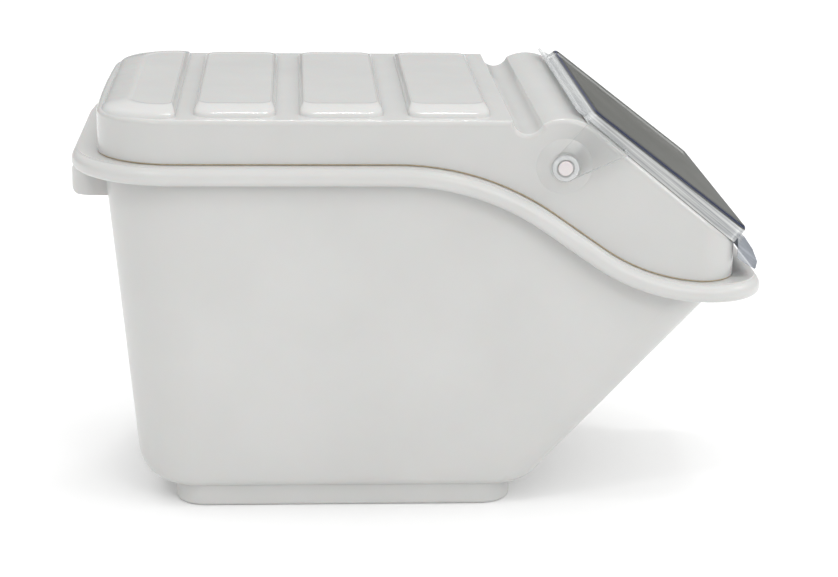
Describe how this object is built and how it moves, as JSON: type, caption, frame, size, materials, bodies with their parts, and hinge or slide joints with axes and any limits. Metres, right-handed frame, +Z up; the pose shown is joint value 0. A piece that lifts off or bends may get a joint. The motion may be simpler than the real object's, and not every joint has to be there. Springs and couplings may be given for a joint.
{
  "type": "pet food bin",
  "caption": "Slant-front shelf bin for dry pet food: a tapered tub with a rolled rim, a lift-off hooded lid and a clear hinged pouring cover.",
  "frame": {"origin": "on the surface the bin stands on, at the centre of the bin's outline", "axes": "+X is the pouring front, along the bin's length; +Z is up; the bin is alike on both sides of Y = 0"},
  "size_m": [0.498, 0.292, 0.2999],
  "materials": {
    "tub_white": "semi-gloss moulded polypropylene, milky white",
    "lid_white": "glossy moulded polypropylene, milky white",
    "seal_tan": "soft tan gasket",
    "cover_clear": "clear moulded polycarbonate",
    "pin_white": "glossy white plastic pin"
  },
  "bodies": {
    "bin": {"bin_body": "tub_white"},
    "lid": {"lid": "lid_white", "lid_seal": "seal_tan", "hinge_pin_left": "pin_white", "hinge_pin_right": "pin_white"},
    "cover": {"front_cover": "cover_clear"}
  },
  "joints": [
    {"name": "lid_lift", "type": "slide", "parent": "bin", "child": "lid", "axis": [0, 0, 1], "range_m": [0, 0.13]},
    {"name": "cover_hinge", "type": "hinge", "parent": "lid", "child": "cover", "pos_m": [0.1009, 0, 0.2608], "axis": [0, -1, 0], "range_deg": [0, 60]}
  ]
}
